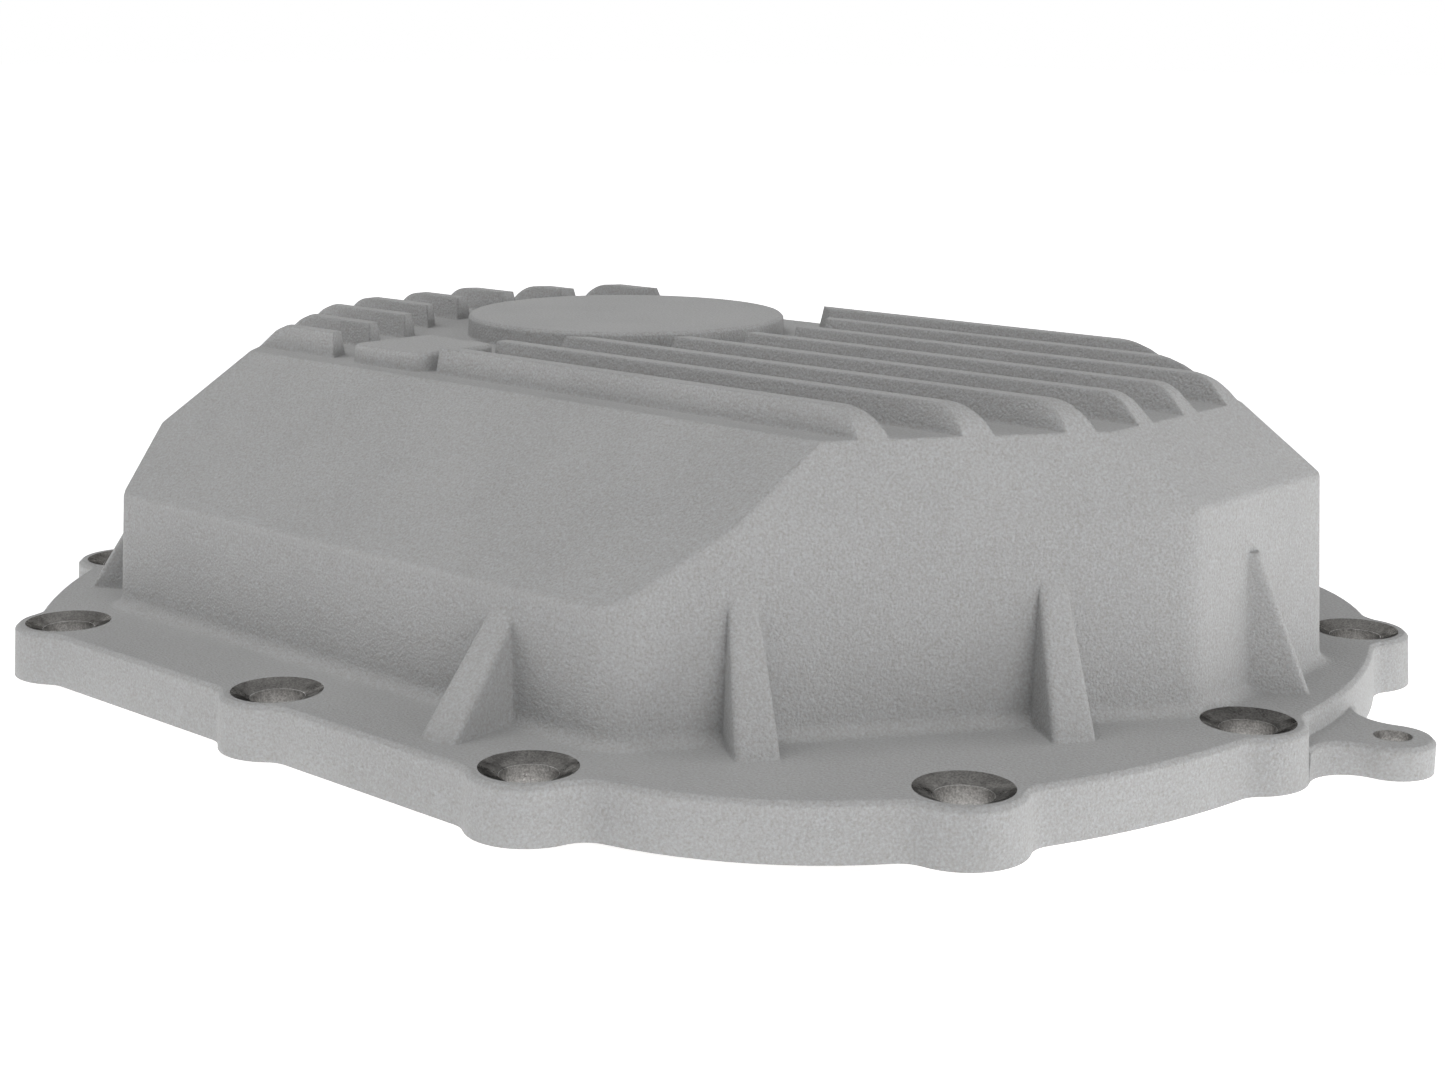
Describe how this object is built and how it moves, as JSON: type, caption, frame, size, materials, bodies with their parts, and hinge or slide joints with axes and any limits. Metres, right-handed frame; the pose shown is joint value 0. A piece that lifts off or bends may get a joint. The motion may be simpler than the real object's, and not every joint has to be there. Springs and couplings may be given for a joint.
{
  "type": "differential cover",
  "caption": "Cast aluminium differential cover with a bolted flange, a faceted deep pan, cooling fins along its top and gussets around its walls.",
  "frame": {"origin": "on the gasket face, in the middle of the four corner side bolts", "axes": "+Z from the gasket face out through the fins, +X along the fins towards the ear, +Y across the fins"},
  "size_m": [0.3211, 0.2556, 0.0695],
  "materials": {
    "cast_aluminium": "matt blasted casting"
  },
  "bodies": {
    "root": {"differential_cover": "cast_aluminium"}
  },
  "joints": []
}
